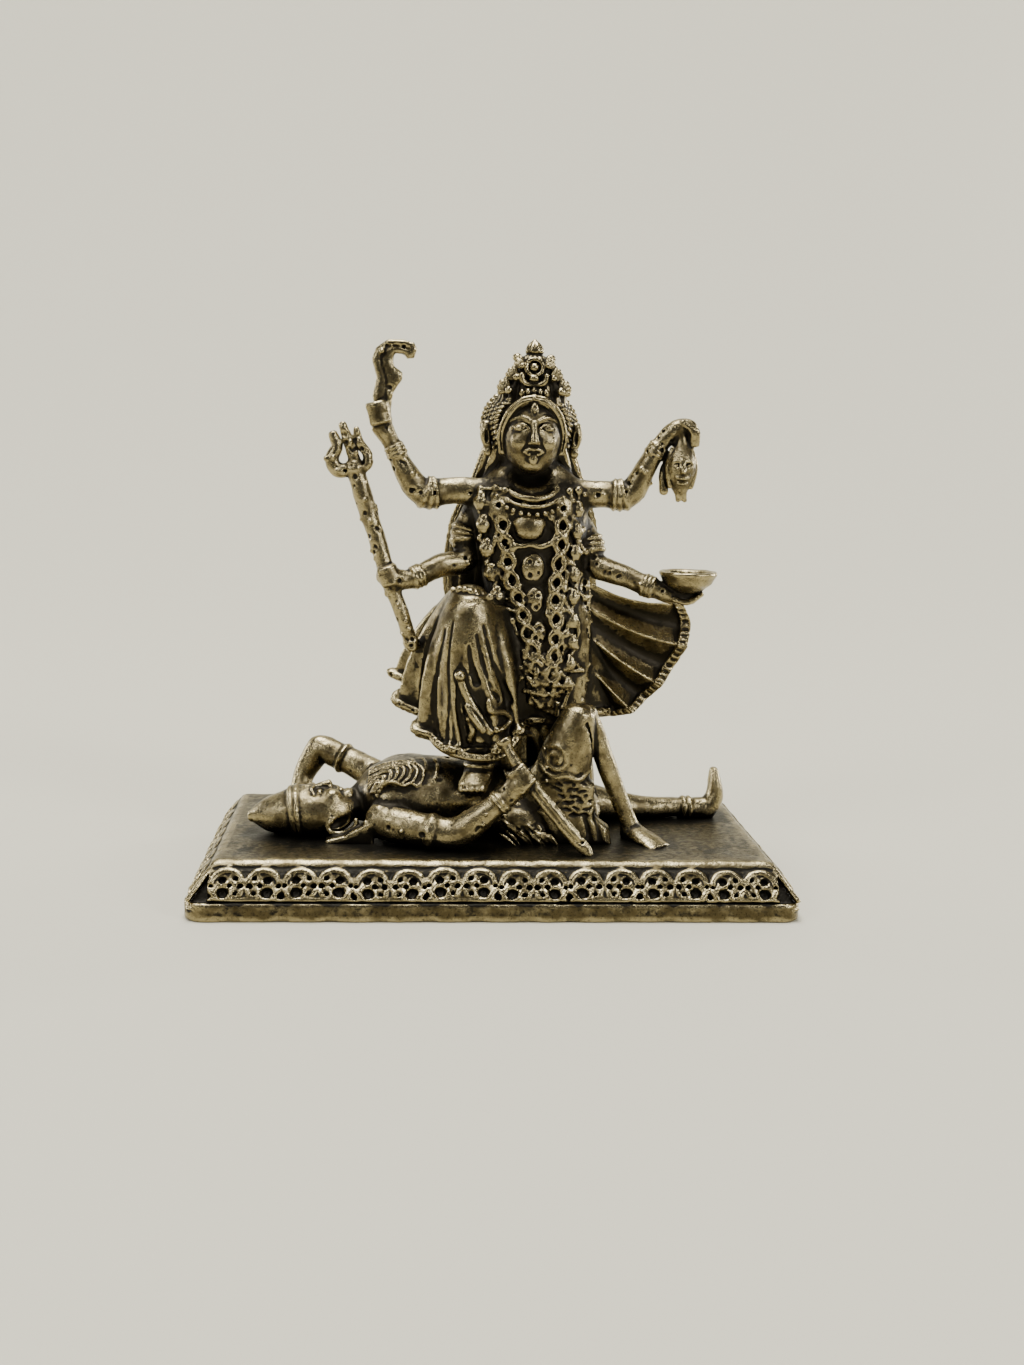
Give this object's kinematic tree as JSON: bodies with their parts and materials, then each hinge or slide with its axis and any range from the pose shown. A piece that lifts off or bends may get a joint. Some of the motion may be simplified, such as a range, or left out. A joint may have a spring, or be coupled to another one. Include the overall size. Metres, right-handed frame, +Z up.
{
  "type": "kali figure",
  "caption": "Small brass casting of four-armed Kali standing on the reclining Shiva, on an oblong plinth with sloping sides and an arched frieze.",
  "frame": {"origin": "middle of the plinth's underside", "axes": "+Z up, +X along the plinth to the viewer's right, +Y away from the viewer, so the figure faces -Y"},
  "size_m": [0.062, 0.0316, 0.0578],
  "materials": {
    "antique_brass": "cast antique brass, dark patina in the recesses, rubbed bright on the high places, finely pitted"
  },
  "bodies": {
    "root": {"kali_figure": "antique_brass"}
  },
  "joints": []
}
